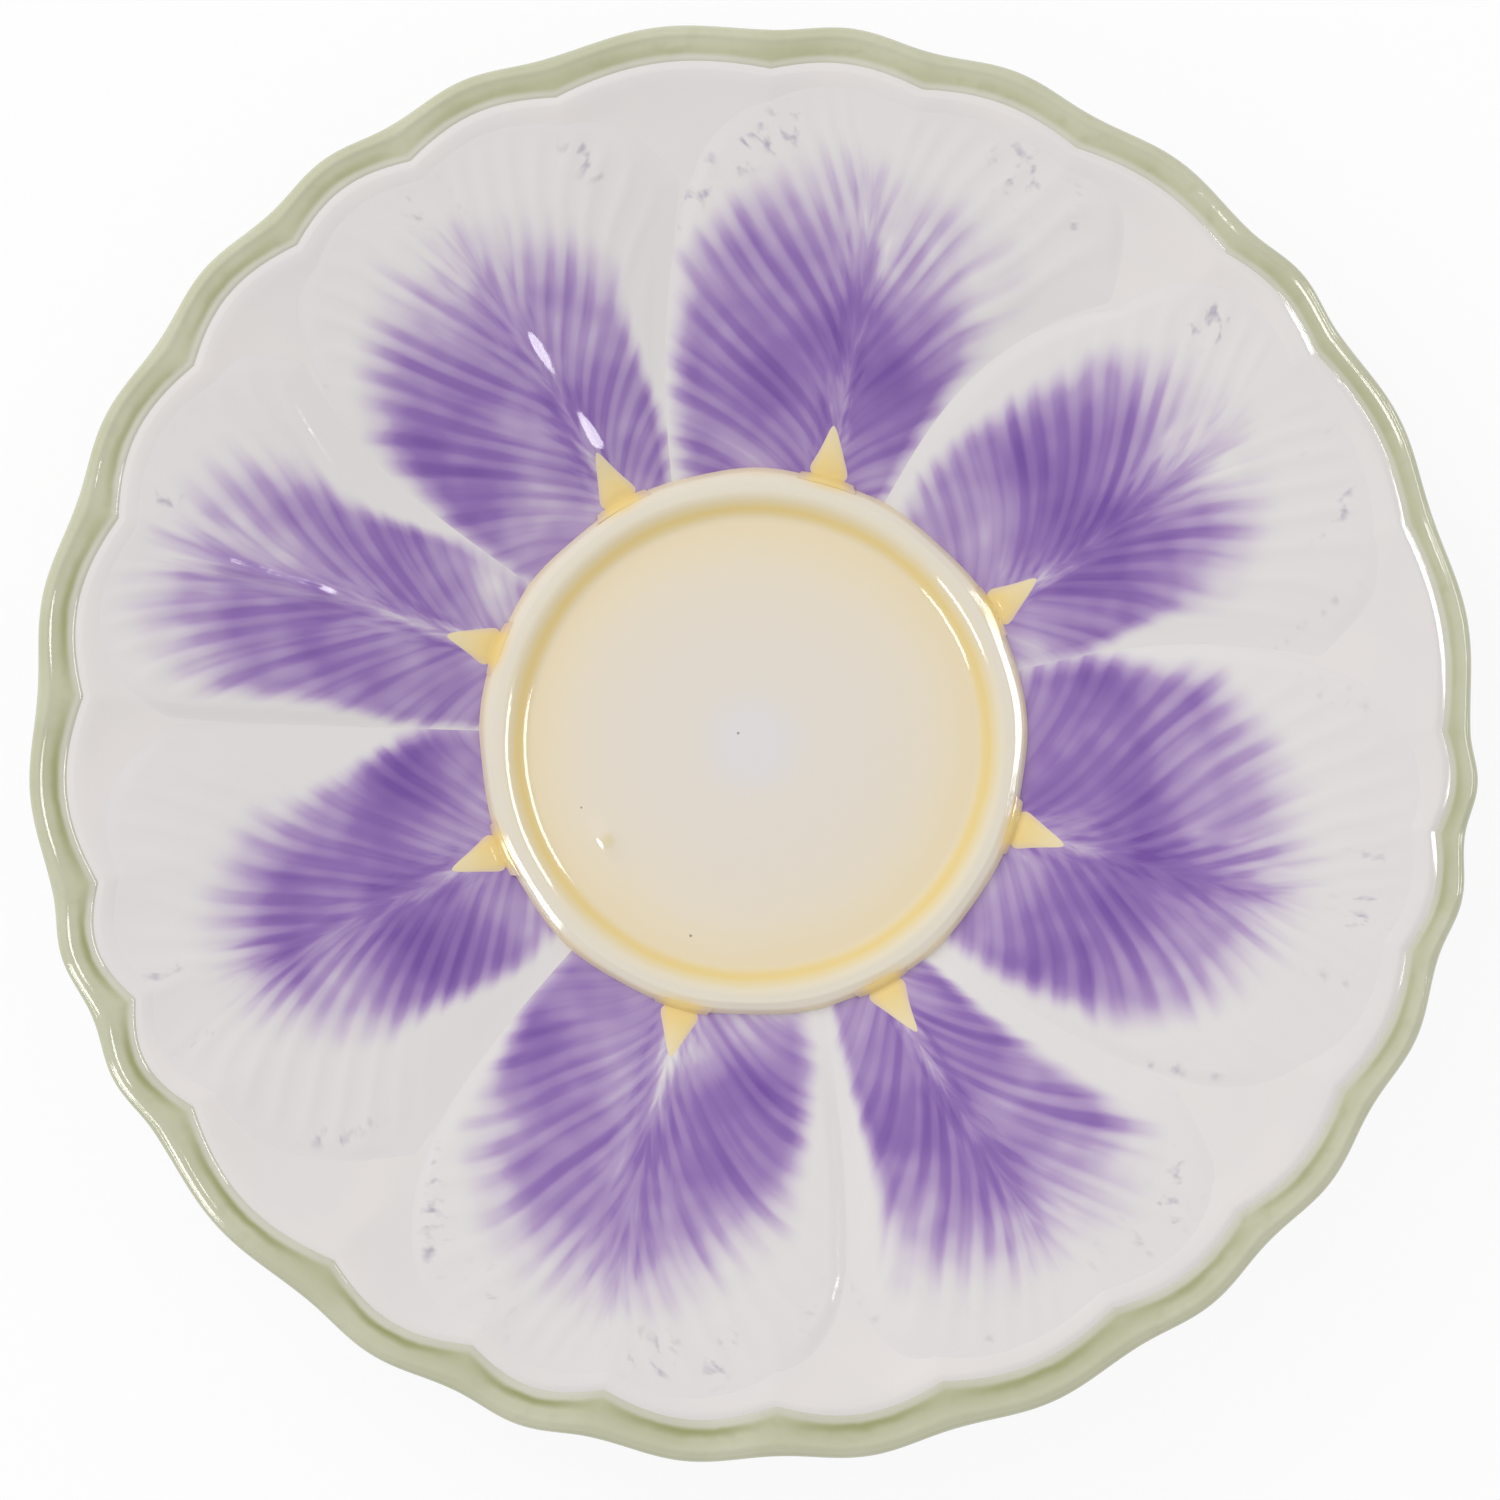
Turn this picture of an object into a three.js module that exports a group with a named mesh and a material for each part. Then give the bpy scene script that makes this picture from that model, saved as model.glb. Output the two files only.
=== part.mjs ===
// A glazed earthenware saucer, moulded as an open flower with eight petals and a scalloped lip.
// Units are millimetres and +Z is up. The saucer stands on z = 0 and its axis is the Z axis.
//
// One closed grid of points is the finished surface. Each row is a step along the saucer's section, from
// the middle of the well, over the lip and back under to the middle of the base. Each column is a step
// round the axis. The clay lies one coat of glaze inside that surface, and each field of the decoration
// is a coat that fills the space between.

import * as THREE from 'three';

// Overall sizes
const SAUCER_DIAMETER = 160; // halfway between the crests and the cusps of the scallops
const SAUCER_HEIGHT = 20.5; // table to the top of the lip
const WALL = 4.5; // flower face to underside, measured upright
const COAT = 0.5; // thickness of the glaze

// Foot ring, in bare clay at the bottom
const FOOT_DIAMETER = 56;
const FOOT_WIDTH = 3.5;
const FOOT_HEIGHT = 2.8; // table to the base
const FOOT_TAPER = 0.6; // each wall leans out by this from the table to the root
const BARE_HEIGHT = 1; // the foot is wiped clean of glaze this far up

// Well for the cup and the raised ring round it
const WELL_DIAMETER = 52.4;
const BASE_THICKNESS = 3.7; // base to the well's floor
const RING_WIDTH = 4.1;
const RING_HEIGHT = 1.8; // above the well's floor
const RING_ROUNDNESS = 0.5; // 1 is a plain sine arch, and less is a fuller one
const RING_ROWS = 4;

// Flower
const PETAL_BASE_RISE = 0.9; // the petals start this far above the well's floor
const BAND_WIDTH = 3.8; // green band, from the flower's scalloped edge to the outline
const EDGE_DROP = 0.5; // the flower's edge lies this far below the top of the lip
const FLOWER_CURVE = 1.2; // 1 is a straight slope, and more is hollower
const TIP_MARGIN = 2.8; // petal tips to the flower's edge
const FORK_DEPTH = 10.9; // neighbouring petals part this far in from their tips
const PETAL_BOW = 1.7; // 1 is an even drift of the petal's side, and more keeps it radial for longer
const PETAL_TIP_POWER = 4; // 2 is a round tip, and more is a squarer one
const PETAL_CROWN = 1; // the middle of a petal stands this far above its sides
const CROWN_RUN = 12; // the crown swells over this distance from the ring
const CROWN_POWER = 4;
const PETAL_EDGE = 0.8; // width of the rounded step from a petal's tip down to the ground
const PETAL_ROWS = 3;

// Sepals, the pointed spurs on the petals' midribs
const SEPAL_LENGTH = 7.4;
const SEPAL_WIDTH = 6.6;
const SEPAL_RISE = 0.7;
const SEPAL_STEPS = 2;

// Lip
const SCALLOP_DEPTH = 0.9; // of the outline
const EDGE_SCALLOP_DEPTH = 1.2; // of the flower's edge
const LIP_STEP = 0.8; // the green band starts this far below the flower's edge
const LIP_STEP_RUN = 0.7;
const LIP_CREST_INSET = 1.1; // crest of the lip, in from the outline
const LIP_HOLLOW = 0.15;
const LIP_EDGE_DROP = 0.9; // outermost line, below the crest
const LIP_UNDER_INSET = 0.9;
const LIP_THICKNESS = 2.2; // crest to the end of the green band under the lip

// Angles are in degrees, anticlockwise from +X. The mould was cut by hand, so their steps vary.
const SCALLOP_CUSPS = [
  1, 18.5, 35, 46, 61.5, 75.5, 88.5, 107, 120.5, 132.5, 146, 160.5, 176,
  192, 202.5, 213, 231, 245, 257, 272, 286.5, 302.5, 316, 329.5, 342.5, 352.5,
];
const COLUMNS_PER_SCALLOP = 4;

// A petal runs anticlockwise from its own side to the next petal's side.
// side and rib are angles at the ring, and fork is where the side parts from its neighbour near the lip.
const PETALS = [
  { side: 15.7, rib: 28.8, fork: 8.3 },
  { side: 61.8, rib: 74.3, fork: 50.8 },
  { side: 107.8, rib: 118.8, fork: 97.1 },
  { side: 145, rib: 159.8, fork: 139.4 },
  { side: 177.9, rib: 203, fork: 178 },
  { side: 228.3, rib: 254.7, fork: 231.1 },
  { side: 285, rib: 298.3, fork: 279.8 },
  { side: 311.6, rib: 342, fork: 321 },
];

// Sizes that follow from the ones above
const FULL_TURN = 360;
const COLUMNS = SCALLOP_CUSPS.length * COLUMNS_PER_SCALLOP;
const SAUCER_RADIUS = SAUCER_DIAMETER / 2;
const EDGE_RADIUS = SAUCER_RADIUS - BAND_WIDTH;
const EDGE_HEIGHT = SAUCER_HEIGHT - EDGE_DROP;
const WELL_RADIUS = WELL_DIAMETER / 2;
const WELL_HEIGHT = FOOT_HEIGHT + BASE_THICKNESS;
const RING_RADIUS = WELL_RADIUS + RING_WIDTH;
const RING_TOP = WELL_HEIGHT + RING_HEIGHT;
const PETAL_BASE_HEIGHT = WELL_HEIGHT + PETAL_BASE_RISE;
const PETAL_TIP_RADIUS = EDGE_RADIUS - TIP_MARGIN;
const FORK_RADIUS = PETAL_TIP_RADIUS - FORK_DEPTH;
const FOOT_OUTER = FOOT_DIAMETER / 2;
const FOOT_INNER = FOOT_OUTER - FOOT_WIDTH;
const SEPAL_HALF_ANGLE = THREE.MathUtils.radToDeg(SEPAL_WIDTH / 2 / RING_RADIUS);

// Columns

function cuspAngle(index) {
  const turns = Math.floor(index / SCALLOP_CUSPS.length);
  return SCALLOP_CUSPS[index - turns * SCALLOP_CUSPS.length] + turns * FULL_TURN;
}

function rimAngle(column) {
  const scallop = Math.floor(column / COLUMNS_PER_SCALLOP);
  const share = column / COLUMNS_PER_SCALLOP - scallop;
  return THREE.MathUtils.lerp(cuspAngle(scallop), cuspAngle(scallop + 1), share);
}

function nearestColumn(angle) {
  let best = 0;
  for (let column = 1; column < 2 * COLUMNS; column++) {
    if (Math.abs(rimAngle(column) - angle) < Math.abs(rimAngle(best) - angle)) best = column;
  }
  return best;
}

// How far a column lies across its scallop: 0 at both cusps and 1 in the middle.
function lobe(column) {
  return Math.sin(Math.PI * ((column / COLUMNS_PER_SCALLOP) % 1));
}

function straightLine(x, knots) {
  let i = 1;
  while (i < knots.length - 1 && x > knots[i][0]) i++;
  const [x0, y0] = knots[i - 1];
  const [x1, y1] = knots[i];
  return y0 + ((y1 - y0) * (x - x0)) / (x1 - x0);
}

const petals = PETALS.map((petal, index) => {
  const last = index + 1 === PETALS.length;
  const next = PETALS[last ? 0 : index + 1];
  const turn = last ? FULL_TURN : 0;
  const start = nearestColumn(petal.fork);
  const rib = nearestColumn((petal.fork + next.fork + turn) / 2);
  const end = nearestColumn(next.fork + turn);
  const ringAngles = [
    [start, petal.side],
    [rib - SEPAL_STEPS, petal.rib - SEPAL_HALF_ANGLE],
    [rib, petal.rib],
    [rib + SEPAL_STEPS, petal.rib + SEPAL_HALF_ANGLE],
    [end, next.side + turn],
  ];
  return { name: index + 1, start, rib, end, ringAngles };
});

// The petal that a column belongs to, with the column counted on from that petal's start.
function petalOf(column) {
  const counted = column < petals[0].start ? column + COLUMNS : column;
  const petal = petals.find(({ start, end }) => counted >= start && counted < end);
  const half = counted < petal.rib ? petal.rib - petal.start : petal.end - petal.rib;
  return { petal, counted, across: (counted - petal.rib) / half };
}

function ringAngle(column) {
  const { petal, counted } = petalOf(column);
  return straightLine(counted, petal.ringAngles);
}

// Section

function point(radius, angle, height) {
  const turn = THREE.MathUtils.degToRad(angle);
  return new THREE.Vector3(radius * Math.cos(turn), radius * Math.sin(turn), height);
}

function flowerHeight(radius) {
  const share = Math.max(0, (radius - RING_RADIUS) / (EDGE_RADIUS - RING_RADIUS));
  return PETAL_BASE_HEIGHT + (EDGE_HEIGHT - PETAL_BASE_HEIGHT) * share ** FLOWER_CURVE;
}

function petalAngle(column, radius) {
  const share = Math.min(1, Math.max(0, (radius - RING_RADIUS) / (FORK_RADIUS - RING_RADIUS)));
  return THREE.MathUtils.lerp(ringAngle(column), rimAngle(petalOf(column).counted), share ** PETAL_BOW);
}

function crown(column, radius) {
  const swell = Math.min(1, Math.max(0, (radius - RING_RADIUS) / CROWN_RUN));
  return PETAL_CROWN * swell * (1 - Math.abs(petalOf(column).across) ** CROWN_POWER);
}

function tipRadius(column) {
  const reach = 1 - Math.abs(petalOf(column).across) ** PETAL_TIP_POWER;
  return FORK_RADIUS + FORK_DEPTH * reach;
}

function petalPoint(column, radius, rise) {
  return point(radius, petalAngle(column, radius), flowerHeight(radius) + rise);
}

// The ring is an arch from the well's floor to the foot of the petals.
function ringPoint(column, step) {
  const share = step / RING_ROWS;
  const chord = THREE.MathUtils.lerp(WELL_HEIGHT, PETAL_BASE_HEIGHT, share);
  const arch = (RING_TOP - chord) * Math.sin(Math.PI * share) ** RING_ROUNDNESS;
  return point(WELL_RADIUS + RING_WIDTH * share, ringAngle(column), chord + arch);
}

// A row of the sepals, counted out from the ring. The spur's ridge falls from the ring to its tip.
function sepalPoint(column, step) {
  const { petal, counted } = petalOf(column);
  const radius = RING_RADIUS + (SEPAL_LENGTH * step) / SEPAL_STEPS;
  const spur = Math.max(0, 1 - (Math.abs(counted - petal.rib) + step) / SEPAL_STEPS);
  return petalPoint(column, radius, crown(column, radius) + SEPAL_RISE * spur);
}

function petalRowPoint(column, step) {
  const from = RING_RADIUS + SEPAL_LENGTH;
  const to = tipRadius(column) - PETAL_EDGE;
  const radius = THREE.MathUtils.lerp(from, to, step / PETAL_ROWS);
  return petalPoint(column, radius, crown(column, radius));
}

function edgeRadius(column) {
  return EDGE_RADIUS + EDGE_SCALLOP_DEPTH * (lobe(column) - 1 / 2);
}

function outlineRadius(column) {
  return SAUCER_RADIUS + SCALLOP_DEPTH * (lobe(column) ** 2 - 1 / 2);
}

function edgePoint(column, run, drop) {
  const radius = edgeRadius(column);
  return point(radius + run, rimAngle(column), flowerHeight(radius) - drop);
}

function lipPoint(column, inset, drop) {
  return point(outlineRadius(column) - inset, rimAngle(column), SAUCER_HEIGHT - drop);
}

function bandMiddle(column) {
  const inner = edgePoint(column, LIP_STEP_RUN, LIP_STEP);
  const crest = lipPoint(column, LIP_CREST_INSET, 0);
  return inner.lerp(crest, 1 / 2).add(new THREE.Vector3(0, 0, -LIP_HOLLOW));
}

function underPoint(column, share) {
  const root = FOOT_OUTER + FOOT_TAPER + COAT;
  const radius = THREE.MathUtils.lerp(EDGE_RADIUS - WALL, root, share);
  const height = share === 1 ? FOOT_HEIGHT : Math.max(FOOT_HEIGHT, flowerHeight(radius) - WALL);
  return point(radius, rimAngle(column), height);
}

function footPoint(column, radius, height) {
  return point(radius, rimAngle(column), height);
}

const steps = (count) => Array.from({ length: count }, (_, index) => index);
const BARE_LEAN = (FOOT_TAPER * BARE_HEIGHT) / FOOT_HEIGHT;

// Each row names the field between itself and the next row.
const rows = [
  { field: 'cup_well', pole: true, at: () => point(0, 0, WELL_HEIGHT) },
  ...steps(RING_ROWS).map((step) => ({ field: 'cup_ring', at: (column) => ringPoint(column, step) })),
  ...steps(SEPAL_STEPS).map((step) => ({ field: 'sepal', step, at: (column) => sepalPoint(column, step) })),
  ...steps(PETAL_ROWS + 1).map((step) => ({ field: 'petal', at: (column) => petalRowPoint(column, step) })),
  { field: 'flower_ground', at: (column) => petalPoint(column, tipRadius(column), 0) },
  { field: 'rim_band', at: (column) => edgePoint(column, 0, 0) },
  { field: 'rim_band', at: (column) => edgePoint(column, LIP_STEP_RUN, LIP_STEP) },
  { field: 'rim_band', at: bandMiddle },
  { field: 'rim_band', at: (column) => lipPoint(column, LIP_CREST_INSET, 0) },
  { field: 'rim_band', at: (column) => lipPoint(column, 0, LIP_EDGE_DROP) },
  { field: 'underside_glaze', at: (column) => lipPoint(column, LIP_UNDER_INSET, LIP_THICKNESS) },
  { field: 'underside_glaze', at: (column) => underPoint(column, 0) },
  { field: 'underside_glaze', at: (column) => underPoint(column, 1 / 2) },
  { field: 'underside_glaze', at: (column) => underPoint(column, 1) },
  { field: 'bare', at: (column) => footPoint(column, FOOT_OUTER + BARE_LEAN + COAT, BARE_HEIGHT) },
  { field: 'bare', bare: true, at: (column) => footPoint(column, FOOT_OUTER, 0) },
  { field: 'bare', bare: true, at: (column) => footPoint(column, FOOT_INNER, 0) },
  { field: 'base_glaze', at: (column) => footPoint(column, FOOT_INNER - BARE_LEAN - COAT, BARE_HEIGHT) },
  { field: 'base_glaze', at: (column) => footPoint(column, FOOT_INNER - FOOT_TAPER - COAT, FOOT_HEIGHT) },
  { field: 'base_glaze', pole: true, at: () => point(0, 0, FOOT_HEIGHT) },
];

// Grid

const finished = [];
const bareClay = [];
const grid = rows.map((row) => {
  const indexOf = (column) => {
    bareClay.push(row.bare === true);
    return finished.push(row.at(column)) - 1;
  };
  return row.pole ? Array(COLUMNS).fill(indexOf(0)) : steps(COLUMNS).map(indexOf);
});

// The field of a triangle. A sepal takes the triangles that lie within its steps of the rib at the ring.
function fieldOf(row, column, corners) {
  if (rows[row].field !== 'sepal' && rows[row].field !== 'petal') return rows[row].field;
  const { petal, counted } = petalOf(column);
  if (rows[row].field === 'petal') return `petal_${petal.name}`;
  const mean = (pick) => corners.reduce((sum, corner) => sum + pick(corner), 0) / corners.length;
  const aside = Math.abs(counted + mean((corner) => corner.column) - petal.rib);
  const out = rows[row].step + mean((corner) => corner.row);
  return aside + out < SEPAL_STEPS ? `sepal_${petal.name}` : `petal_${petal.name}`;
}

// The four corners of a cell, in turn round it, and its two splits, which lean towards the rib.
const CORNERS = [
  { row: 0, column: 0 },
  { row: 1, column: 0 },
  { row: 1, column: 1 },
  { row: 0, column: 1 },
];
const [inner, outer, outerNext, innerNext] = CORNERS;
const SPLIT_BEFORE_RIB = [[inner, outer, outerNext], [inner, outerNext, innerNext]];
const SPLIT_AFTER_RIB = [[inner, outer, innerNext], [outer, outerNext, innerNext]];

const fields = new Map();
for (let row = 0; row < rows.length - 1; row++) {
  for (let column = 0; column < COLUMNS; column++) {
    const { petal, counted } = petalOf(column);
    for (const corners of counted < petal.rib ? SPLIT_BEFORE_RIB : SPLIT_AFTER_RIB) {
      const triangle = corners.map((corner) => grid[row + corner.row][(column + corner.column) % COLUMNS]);
      if (new Set(triangle).size < 3) continue;
      const field = fieldOf(row, column, corners);
      if (!fields.has(field)) fields.set(field, []);
      fields.get(field).push(triangle);
    }
  }
}

// Clay surface: the finished surface moved in by one coat, except where the clay is bare.
const normals = finished.map(() => new THREE.Vector3());
for (const triangle of [...fields.values()].flat()) {
  const [a, b, c] = triangle.map((index) => finished[index]);
  const facing = new THREE.Vector3().crossVectors(b.clone().sub(a), c.clone().sub(a)).normalize();
  for (const index of triangle) normals[index].add(facing);
}
const clay = finished.map((place, index) => {
  const inward = normals[index].clone().normalize().multiplyScalar(bareClay[index] ? 0 : -COAT);
  return place.clone().add(inward);
});

// Solids

function solid(name, triangles, material) {
  const numbers = triangles.flat().flatMap((place) => place.toArray());
  const geometry = new THREE.BufferGeometry();
  geometry.setAttribute('position', new THREE.Float32BufferAttribute(numbers, 3));
  geometry.computeVertexNormals();
  const mesh = new THREE.Mesh(geometry, material);
  mesh.name = name;
  return mesh;
}

function bodySolid(name, material) {
  const triangles = [...fields.values()].flat();
  return solid(name, triangles.map((triangle) => triangle.map((index) => clay[index])), material);
}

// A coat is closed by the finished surface, the clay surface and a wall along each edge of its field.
function coatSolid(name, material) {
  const faces = [];
  const edges = new Set();
  const key = (from, to) => `${from} ${to}`;
  for (const [a, b, c] of fields.get(name)) {
    faces.push([finished[a], finished[b], finished[c]]);
    faces.push([clay[c], clay[b], clay[a]]);
    edges.add(key(a, b)).add(key(b, c)).add(key(c, a));
  }
  for (const edge of edges) {
    const [from, to] = edge.split(' ').map(Number);
    if (edges.has(key(to, from))) continue;
    // Neighbouring coats share this wall, so both split it along the same diagonal.
    if (from < to) {
      faces.push([finished[from], clay[from], clay[to]], [finished[from], clay[to], finished[to]]);
    } else {
      faces.push([finished[from], clay[from], finished[to]], [clay[from], clay[to], finished[to]]);
    }
  }
  return solid(name, faces, material);
}

// Finishes

function finish(name, color, roughness) {
  const material = new THREE.MeshStandardMaterial({ color, roughness, metalness: 0 });
  material.name = name;
  return material;
}

const CLAY_ROUGHNESS = 0.75;
const GLAZE_ROUGHNESS = 0.12;
const bareBiscuit = finish('clay', 0xd8c3a5, CLAY_ROUGHNESS);
const wellGlaze = finish('well_glaze', 0xe3d8bd, GLAZE_ROUGHNESS);
const ringGlaze = finish('ring_glaze', 0xe1d9c7, GLAZE_ROUGHNESS);
const petalGlaze = finish('petal_glaze', 0xa98fc4, GLAZE_ROUGHNESS);
const sepalGlaze = finish('sepal_glaze', 0xe6cd8f, GLAZE_ROUGHNESS);
const whiteGlaze = finish('white_glaze', 0xdedad9, GLAZE_ROUGHNESS);
const bandGlaze = finish('band_glaze', 0xb9bb96, GLAZE_ROUGHNESS);

const saucer = new THREE.Group();
saucer.name = 'saucer';
saucer.add(bodySolid('clay_body', bareBiscuit));
saucer.add(coatSolid('cup_well', wellGlaze));
saucer.add(coatSolid('cup_ring', ringGlaze));
for (const petal of petals) {
  saucer.add(coatSolid(`petal_${petal.name}`, petalGlaze));
  saucer.add(coatSolid(`sepal_${petal.name}`, sepalGlaze));
}
saucer.add(coatSolid('flower_ground', whiteGlaze));
saucer.add(coatSolid('rim_band', bandGlaze));
saucer.add(coatSolid('underside_glaze', whiteGlaze));
saucer.add(coatSolid('base_glaze', whiteGlaze));

export default saucer;
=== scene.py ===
# %% [markdown]
# # A saucer moulded as an open flower
# The object is a pressed earthenware saucer, 160 mm across. Eight petals spread from a raised ring round
# the cup's place to a scalloped lip. The maker brushed purple on the petals, yellow on the well and the
# spurs, and green on the lip, and fired it all under a clear gloss glaze.
#
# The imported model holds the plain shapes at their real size. This lesson lays the fine surface over them:
# each coat of glaze is modelled again with its relief, and painted with nodes.

# %% Load the frame
import math

import bpy
import numpy as np
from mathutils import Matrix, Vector


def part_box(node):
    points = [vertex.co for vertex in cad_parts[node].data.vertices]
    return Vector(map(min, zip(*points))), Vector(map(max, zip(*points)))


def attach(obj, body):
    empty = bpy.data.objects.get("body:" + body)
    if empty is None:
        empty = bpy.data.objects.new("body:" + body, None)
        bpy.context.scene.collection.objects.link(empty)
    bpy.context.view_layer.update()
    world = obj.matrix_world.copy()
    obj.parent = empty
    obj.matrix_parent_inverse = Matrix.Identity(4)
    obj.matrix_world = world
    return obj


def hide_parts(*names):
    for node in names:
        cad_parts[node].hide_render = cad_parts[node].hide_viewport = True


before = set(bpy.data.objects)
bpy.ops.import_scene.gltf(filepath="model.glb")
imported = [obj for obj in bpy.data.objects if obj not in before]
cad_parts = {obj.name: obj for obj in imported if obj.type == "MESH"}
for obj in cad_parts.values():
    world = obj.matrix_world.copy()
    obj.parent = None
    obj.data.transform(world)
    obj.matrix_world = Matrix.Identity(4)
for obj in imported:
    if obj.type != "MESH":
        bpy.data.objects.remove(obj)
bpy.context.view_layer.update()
print("pieces in the frame:", len(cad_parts))

# %% [markdown]
# ## Sizes
# Blender counts in metres, but a potter thinks in millimetres, so the sizes below are millimetres and MM
# turns them into metres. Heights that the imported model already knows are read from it.

# %% Sizes of the saucer
MM = 0.001
COAT = 0.5

well_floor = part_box("cup_well")[1].z / MM
ring_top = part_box("cup_ring")[1].z / MM
lip_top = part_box("rim_band")[1].z / MM
base_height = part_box("base_glaze")[1].z / MM - COAT
bare_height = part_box("base_glaze")[0].z / MM

RING_INNER = 24.8
RING_OUTER = 30.3
EDGE_RADIUS = 76.0
OUTLINE_RADIUS = 79.84
PETAL_FOOT_HEIGHT = 7.4
EDGE_DROP = 0.5
FLOWER_CURVE = 1.2
WALL = 4.5

edge_height = lip_top - EDGE_DROP


def smooth(share):
    """0 below 0, 1 above 1, and a soft bend at both ends between them."""
    share = np.clip(share, 0, 1)
    return share * share * (3 - 2 * share)


def flower_height(radius):
    """Height of the plain slope that the petals lie on, from the ring up to the scalloped edge."""
    share = np.clip((radius - RING_OUTER) / (EDGE_RADIUS - RING_OUTER), 0, None)
    return PETAL_FOOT_HEIGHT + (edge_height - PETAL_FOOT_HEIGHT) * share**FLOWER_CURVE


print(f"well floor {well_floor:.1f} mm, ring {ring_top:.1f} mm, lip {lip_top:.1f} mm")

# %% [markdown]
# ## The scalloped rim
# The mould was cut by hand, so the 26 scallops differ in width and the green band is wider on one side.
# One function moves any point near the rim out or in, so that every coat there follows the same scallops.
# A spin has even steps, so each scallop gets the same number of them and its cusp falls on a real point.

# %% Scallops
SCALLOP_CUSPS = [
    1, 18.5, 35, 46, 61.5, 75.5, 88.5, 107, 120.5, 132.5, 146, 160.5, 176,
    192, 202.5, 213, 231, 245, 257, 272, 286.5, 302.5, 316, 329.5, 342.5, 352.5,
]
SCALLOPS = len(SCALLOP_CUSPS)
SCALLOP_DEPTH = 0.9
EDGE_SCALLOP_DEPTH = 1.5
BAND_WIDTH = 3.4
RIM_REACH = 18.0
MEAN_LOBE = 2 / math.pi

# A wave round the saucer has a height, a number of crests and the angle of its first crest.
OUTLINE_WAVE = (0.28, 2, -21)
BAND_WAVES = [(0.57, 1, 46), (0.4, 2, 8), (0.2, 3, 0)]
EDGE_SCALLOP_WAVE = (0.5, 1, 30)

cusp_turns = np.arange(SCALLOPS + 1)
cusp_angles = np.array(SCALLOP_CUSPS + [SCALLOP_CUSPS[0] + 360])


def wave(angle, height, times, crest):
    """A wave round the saucer, with its first crest at an angle in degrees."""
    return height * np.cos(times * np.radians(angle - crest))


def scallop_turn(angle):
    """Scallops counted round the rim up to an angle in degrees."""
    return np.interp((angle - SCALLOP_CUSPS[0]) % 360 + SCALLOP_CUSPS[0], cusp_angles, cusp_turns)


def lobe(turn):
    """0 at a cusp and 1 in the middle of a scallop."""
    return np.sin(np.pi * (turn % 1))


def rim_lines(angle):
    """Radius of the flower's scalloped edge and of the saucer's outline."""
    swell = lobe(scallop_turn(angle))
    mean = OUTLINE_RADIUS + wave(angle, *OUTLINE_WAVE)
    band = BAND_WIDTH - sum(wave(angle, *row) for row in BAND_WAVES)
    depth = EDGE_SCALLOP_DEPTH - wave(angle, *EDGE_SCALLOP_WAVE)
    edge = mean - band + depth * (swell - MEAN_LOBE)
    outline = mean + SCALLOP_DEPTH * (swell**2 - 1 / 2)
    return edge, outline


def scalloped(radius, angle):
    """Moves a radius of the plain round shape to its place under or inside the scallops."""
    edge, outline = rim_lines(angle)
    pull = smooth((radius - EDGE_RADIUS + RIM_REACH) / RIM_REACH)
    inside = radius + pull * (edge - EDGE_RADIUS)
    across = (radius - EDGE_RADIUS) / (OUTLINE_RADIUS - EDGE_RADIUS)
    return np.where(across < 0, inside, edge + across * (outline - edge))


print("scallops:", SCALLOPS)

# %% [markdown]
# ## Camera
# The photograph looks straight down from far away, so that the rim hides none of the slope. A long lens
# on a distant camera gives the same view: the frame is square, and the saucer almost fills it.

# %% Camera
FRAME_PIXELS = 1500
MM_PER_PIXEL = 0.1109
SAUCER_PIXEL = (753.4, 743.0)
LENS = 500.0
SENSOR = 36.0

frame_width = FRAME_PIXELS * MM_PER_PIXEL
camera_x = (FRAME_PIXELS / 2 - SAUCER_PIXEL[0]) * MM_PER_PIXEL
camera_y = (SAUCER_PIXEL[1] - FRAME_PIXELS / 2) * MM_PER_PIXEL
camera_height = lip_top + frame_width * LENS / SENSOR

bpy.ops.object.camera_add(location=(camera_x * MM, camera_y * MM, camera_height * MM), rotation=(0, 0, 0))
camera = bpy.context.active_object
camera.data.lens = LENS
camera.data.sensor_width = SENSOR
bpy.context.scene.camera = camera
bpy.context.scene.view_settings.view_transform = "Standard"
print(f"camera {camera_height:.0f} mm above the table")

# %% [markdown]
# ## Nodes as sums
# A material is a net of nodes. Written out link by link it is hard to read, so one small class wraps a
# socket and lets it be added and multiplied like a number, and another adds the nodes.

# %% Sockets and nodes
class Socket:
    """An output of a node, used like a number."""

    def __init__(self, nodes, socket):
        self.nodes = nodes
        self.socket = socket

    def __abs__(self):
        return self.nodes.math("ABSOLUTE", self)


def operator(operation, swapped):
    """A method of a socket that adds a math node, with its two values swapped or not."""

    def method(self, other):
        values = (other, self) if swapped else (self, other)
        return self.nodes.math(operation, *values)

    return method


OPERATIONS = {"add": "ADD", "sub": "SUBTRACT", "mul": "MULTIPLY", "truediv": "DIVIDE", "pow": "POWER"}
for name, operation in OPERATIONS.items():
    setattr(Socket, f"__{name}__", operator(operation, swapped=False))
    setattr(Socket, f"__r{name}__", operator(operation, swapped=True))


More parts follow.
